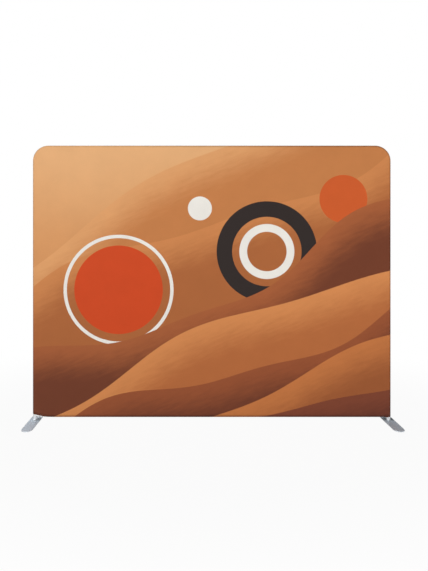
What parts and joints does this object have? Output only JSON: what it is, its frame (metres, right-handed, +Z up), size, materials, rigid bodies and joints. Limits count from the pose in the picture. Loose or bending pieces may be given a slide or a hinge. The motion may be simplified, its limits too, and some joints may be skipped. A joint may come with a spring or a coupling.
{
  "type": "tubular display backdrop",
  "caption": "Free-standing display backdrop: slip-together aluminium tube frame on flat swivelling feet, with a stretch fabric cover that zips at the back.",
  "frame": {"origin": "on the floor, midway between the two feet and in the middle of the panel's thickness", "axes": "+X to the right seen from the printed front, +Y from the front to the back, +Z up"},
  "size_m": [3.0558, 0.45, 2.308],
  "materials": {
    "tube_aluminium": "bright anodised",
    "sleeve_aluminium": "mill",
    "spigot_aluminium": "turned",
    "button_steel": "nickel plated",
    "rivet_aluminium": "satin",
    "spring_steel": "satin",
    "foot_steel": "silver grey powder coat",
    "pad_rubber": "matte",
    "washer_nylon": "matte",
    "screw_steel": "zinc plated",
    "printed_fabric": "printed stretch knit",
    "white_fabric": "plain stretch knit",
    "zip_tape": "woven tape",
    "zip_coil": "nylon coil",
    "zip_metal": "nickel plated"
  },
  "bodies": {
    "frame": {"left_lower_upright": "tube_aluminium", "left_upper_upright": "tube_aluminium", "right_lower_upright": "tube_aluminium", "right_upper_upright": "tube_aluminium", "left_corner_bend": "tube_aluminium", "right_corner_bend": "tube_aluminium", "top_rail_left": "tube_aluminium", "top_rail_middle": "tube_aluminium", "top_rail_right": "tube_aluminium", "bottom_rail_left": "tube_aluminium", "bottom_rail_middle": "tube_aluminium", "bottom_rail_right": "tube_aluminium", "centre_lower_post": "tube_aluminium", "centre_upper_post": "tube_aluminium", "left_upright_sleeves": "sleeve_aluminium", "right_upright_sleeves": "sleeve_aluminium", "top_rail_sleeves": "sleeve_aluminium", "bottom_rail_sleeves": "sleeve_aluminium", "centre_post_sleeve": "sleeve_aluminium", "left_rail_stub": "sleeve_aluminium", "right_rail_stub": "sleeve_aluminium", "centre_lower_stub": "sleeve_aluminium", "centre_upper_stub": "sleeve_aluminium", "left_foot_spigot": "spigot_aluminium", "right_foot_spigot": "spigot_aluminium", "sleeve_rivets": "rivet_aluminium", "button_springs": "spring_steel", "swivel_washers": "washer_nylon", "foot_screws": "screw_steel", "front_panel": "printed_fabric", "back_panel": "white_fabric", "zip_tape_upper": "zip_tape", "zip_tape_lower": "zip_tape", "zip_chain": "zip_coil", "zip_stops": "zip_metal"},
    "left_foot": {"left_foot_plate": "foot_steel", "left_foot_pads": "pad_rubber"},
    "right_foot": {"right_foot_plate": "foot_steel", "right_foot_pads": "pad_rubber"},
    "left_foot_button": {"left_foot_button": "button_steel"},
    "left_upright_button": {"left_upright_button": "button_steel"},
    "left_bend_button": {"left_bend_button": "button_steel"},
    "left_corner_button": {"left_corner_button": "button_steel"},
    "top_left_button": {"top_left_button": "button_steel"},
    "top_right_button": {"top_right_button": "button_steel"},
    "right_corner_button": {"right_corner_button": "button_steel"},
    "right_bend_button": {"right_bend_button": "button_steel"},
    "right_upright_button": {"right_upright_button": "button_steel"},
    "right_foot_button": {"right_foot_button": "button_steel"},
    "left_rail_button": {"left_rail_button": "button_steel"},
    "bottom_left_button": {"bottom_left_button": "button_steel"},
    "bottom_right_button": {"bottom_right_button": "button_steel"},
    "right_rail_button": {"right_rail_button": "button_steel"},
    "centre_lower_button": {"centre_lower_button": "button_steel"},
    "centre_middle_button": {"centre_middle_button": "button_steel"},
    "centre_upper_button": {"centre_upper_button": "button_steel"},
    "zip_slider": {"zip_slider": "zip_metal"},
    "zip_pull": {"zip_pull": "zip_metal"}
  },
  "joints": [
    {"name": "left_foot_button_press", "type": "slide", "parent": "frame", "child": "left_foot_button", "axis": [1, 0, 0], "range_m": [-0.005, 0], "stiffness_N_per_m": 2000, "springref_m": 0.003, "deforming": ["button_springs"]},
    {"name": "left_upright_button_press", "type": "slide", "parent": "frame", "child": "left_upright_button", "axis": [1, 0, 0], "range_m": [-0.005, 0], "stiffness_N_per_m": 2000, "springref_m": 0.003, "deforming": ["button_springs"]},
    {"name": "left_bend_button_press", "type": "slide", "parent": "frame", "child": "left_bend_button", "axis": [1, 0, 0], "range_m": [-0.005, 0], "stiffness_N_per_m": 2000, "springref_m": 0.003, "deforming": ["button_springs"]},
    {"name": "left_corner_button_press", "type": "slide", "parent": "frame", "child": "left_corner_button", "axis": [0, 0, -1], "range_m": [-0.005, 0], "stiffness_N_per_m": 2000, "springref_m": 0.003, "deforming": ["button_springs"]},
    {"name": "top_left_button_press", "type": "slide", "parent": "frame", "child": "top_left_button", "axis": [0, 0, -1], "range_m": [-0.005, 0], "stiffness_N_per_m": 2000, "springref_m": 0.003, "deforming": ["button_springs"]},
    {"name": "top_right_button_press", "type": "slide", "parent": "frame", "child": "top_right_button", "axis": [0, 0, -1], "range_m": [-0.005, 0], "stiffness_N_per_m": 2000, "springref_m": 0.003, "deforming": ["button_springs"]},
    {"name": "right_corner_button_press", "type": "slide", "parent": "frame", "child": "right_corner_button", "axis": [0, 0, -1], "range_m": [-0.005, 0], "stiffness_N_per_m": 2000, "springref_m": 0.003, "deforming": ["button_springs"]},
    {"name": "right_bend_button_press", "type": "slide", "parent": "frame", "child": "right_bend_button", "axis": [-1, 0, 0], "range_m": [-0.005, 0], "stiffness_N_per_m": 2000, "springref_m": 0.003, "deforming": ["button_springs"]},
    {"name": "right_upright_button_press", "type": "slide", "parent": "frame", "child": "right_upright_button", "axis": [-1, 0, 0], "range_m": [-0.005, 0], "stiffness_N_per_m": 2000, "springref_m": 0.003, "deforming": ["button_springs"]},
    {"name": "right_foot_button_press", "type": "slide", "parent": "frame", "child": "right_foot_button", "axis": [-1, 0, 0], "range_m": [-0.005, 0], "stiffness_N_per_m": 2000, "springref_m": 0.003, "deforming": ["button_springs"]},
    {"name": "left_rail_button_press", "type": "slide", "parent": "frame", "child": "left_rail_button", "axis": [0, 0, 1], "range_m": [-0.005, 0], "stiffness_N_per_m": 2000, "springref_m": 0.003, "deforming": ["button_springs"]},
    {"name": "bottom_left_button_press", "type": "slide", "parent": "frame", "child": "bottom_left_button", "axis": [0, 0, 1], "range_m": [-0.005, 0], "stiffness_N_per_m": 2000, "springref_m": 0.003, "deforming": ["button_springs"]},
    {"name": "bottom_right_button_press", "type": "slide", "parent": "frame", "child": "bottom_right_button", "axis": [0, 0, 1], "range_m": [-0.005, 0], "stiffness_N_per_m": 2000, "springref_m": 0.003, "deforming": ["button_springs"]},
    {"name": "right_rail_button_press", "type": "slide", "parent": "frame", "child": "right_rail_button", "axis": [0, 0, 1], "range_m": [-0.005, 0], "stiffness_N_per_m": 2000, "springref_m": 0.003, "deforming": ["button_springs"]},
    {"name": "centre_lower_button_press", "type": "slide", "parent": "frame", "child": "centre_lower_button", "axis": [1, 0, 0], "range_m": [-0.005, 0], "stiffness_N_per_m": 2000, "springref_m": 0.003, "deforming": ["button_springs"]},
    {"name": "centre_middle_button_press", "type": "slide", "parent": "frame", "child": "centre_middle_button", "axis": [1, 0, 0], "range_m": [-0.005, 0], "stiffness_N_per_m": 2000, "springref_m": 0.003, "deforming": ["button_springs"]},
    {"name": "centre_upper_button_press", "type": "slide", "parent": "frame", "child": "centre_upper_button", "axis": [1, 0, 0], "range_m": [-0.005, 0], "stiffness_N_per_m": 2000, "springref_m": 0.003, "deforming": ["button_springs"]},
    {"name": "left_foot_swivel", "type": "hinge", "parent": "frame", "child": "left_foot", "pos_m": [-1.4829, 0, 0.0085], "axis": [0, 0, 1], "range_deg": [-90, 90]},
    {"name": "right_foot_swivel", "type": "hinge", "parent": "frame", "child": "right_foot", "pos_m": [1.4829, 0, 0.0085], "axis": [0, 0, 1], "range_deg": [-90, 90]},
    {"name": "zip_run", "type": "slide", "parent": "frame", "child": "zip_slider", "axis": [-1, 0, 0], "range_m": [0, 2.8475], "deforming": ["zip_chain"]},
    {"name": "zip_pull_swing", "type": "hinge", "parent": "zip_slider", "child": "zip_pull", "pos_m": [1.4236, 0.0212, 0.085], "axis": [0, 0, -1], "range_deg": [0, 180]}
  ]
}
